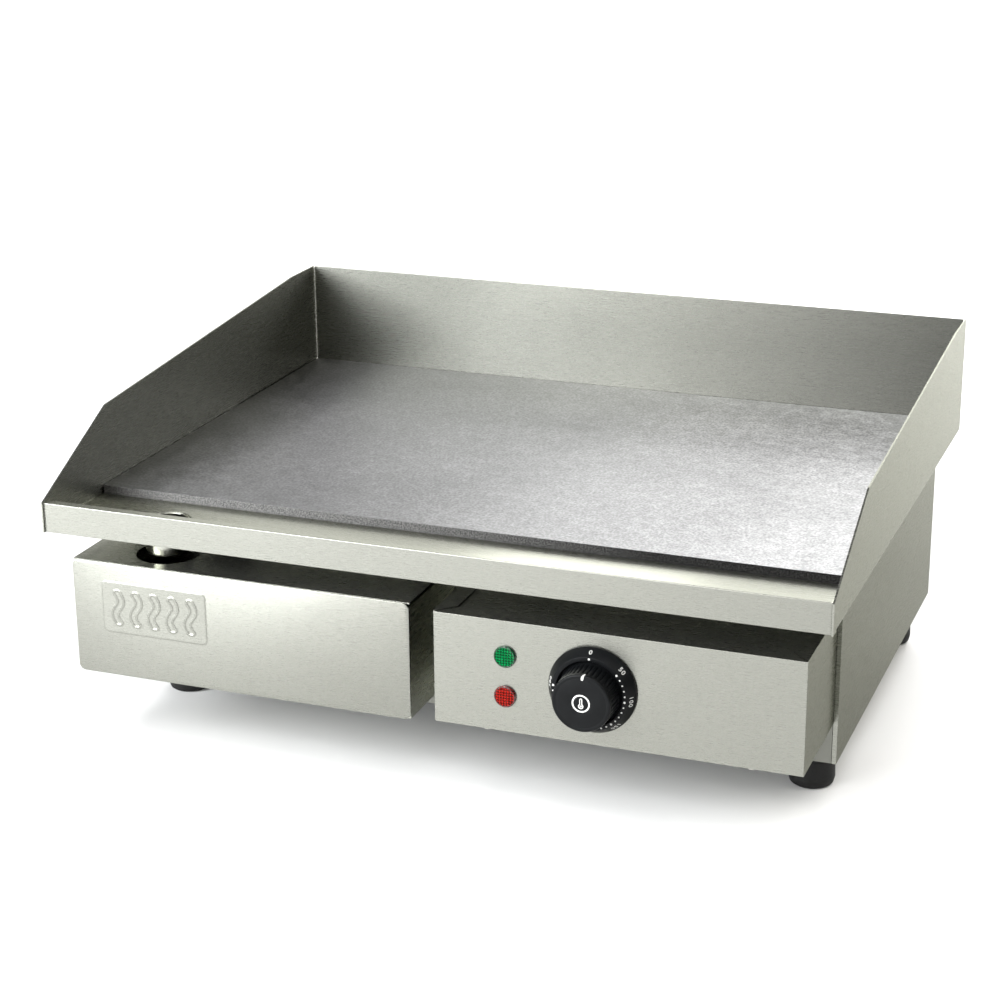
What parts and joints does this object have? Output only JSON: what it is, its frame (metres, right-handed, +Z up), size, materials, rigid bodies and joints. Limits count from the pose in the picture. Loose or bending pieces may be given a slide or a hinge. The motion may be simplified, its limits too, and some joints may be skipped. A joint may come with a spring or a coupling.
{
  "type": "flat top griddle",
  "caption": "Countertop electric flat top griddle: steel cooking plate in a splash-guarded tray with a grease gutter, pull-out grease drawer, and a front control box with a dial and two lamps.",
  "frame": {"origin": "on the table, under the middle of the griddle's overall box", "axes": "+X to the right as seen from the controls, +Y to the back, +Z up"},
  "size_m": [0.55, 0.455, 0.2507],
  "materials": {
    "stainless": "fine horizontal brushed satin",
    "plate_steel": "ground and cross-brushed, slightly mottled",
    "zinc_steel": "dull zinc plating",
    "aluminised": "dull",
    "copper": "drawn tube, slightly tarnished",
    "brass": "turned",
    "mineral_wool": "loose fibre mat",
    "black_rubber": "matte moulded",
    "black_plastic": "fine satin moulding",
    "green_lens": "clear coloured, faceted",
    "red_lens": "clear coloured, faceted",
    "ceramic": "fired, unglazed",
    "silicone": "smooth wire sleeve"
  },
  "bodies": {
    "root": {"side_wall_left": "stainless", "side_wall_right": "stainless", "back_wall": "stainless", "gutter": "stainless", "drain_spout": "stainless", "side_panel_left": "stainless", "side_panel_right": "stainless", "front_plate": "stainless", "rear_panel": "stainless", "base_plate": "stainless", "control_box": "stainless", "control_box_base": "stainless", "drawer_hood": "stainless", "drawer_rail_left": "stainless", "drawer_rail_right": "stainless", "griddle_plate": "plate_steel", "heating_element_left": "zinc_steel", "heating_element_right": "zinc_steel", "clamp_bar_front": "zinc_steel", "clamp_bar_middle": "zinc_steel", "clamp_bar_rear": "zinc_steel", "bulb_clip": "zinc_steel", "foot_screw_front_left": "zinc_steel", "foot_screw_front_right": "zinc_steel", "foot_screw_rear_left": "zinc_steel", "foot_screw_rear_right": "zinc_steel", "base_screw_left": "zinc_steel", "base_screw_right": "zinc_steel", "thermostat_body": "zinc_steel", "lamp_nut_green": "zinc_steel", "lamp_nut_red": "zinc_steel", "heat_shield": "aluminised", "thermostat_bulb": "copper", "capillary_tube": "copper", "earth_stud": "brass", "insulation_blanket": "mineral_wool", "foot_front_left": "black_rubber", "foot_front_right": "black_rubber", "foot_rear_left": "black_rubber", "foot_rear_right": "black_rubber", "cable_gland": "black_plastic", "gland_nut": "black_plastic", "dial_bezel": "black_plastic", "lamp_body_green": "black_plastic", "lamp_body_red": "black_plastic", "lamp_lens_green": "green_lens", "lamp_lens_red": "red_lens", "terminal_block": "ceramic", "wire_lamp_green": "silicone", "wire_lamp_red": "silicone", "wire_supply": "silicone", "wire_element_left": "silicone", "wire_element_right": "silicone", "wire_neutral_right": "silicone", "wire_neutral_left": "silicone", "wire_earth": "silicone"},
    "drawer": {"drawer_pan": "stainless", "drawer_front": "stainless"},
    "knob": {"knob": "black_plastic", "thermostat_shaft": "brass"}
  },
  "joints": [
    {"name": "drawer_slide", "type": "slide", "parent": "root", "child": "drawer", "axis": [0, -1, 0], "range_m": [0, 0.078]},
    {"name": "knob_turn", "type": "hinge", "parent": "root", "child": "knob", "pos_m": [0.119, -0.2065, 0.09865], "axis": [0, 1, 0], "range_deg": [0, 285]}
  ]
}
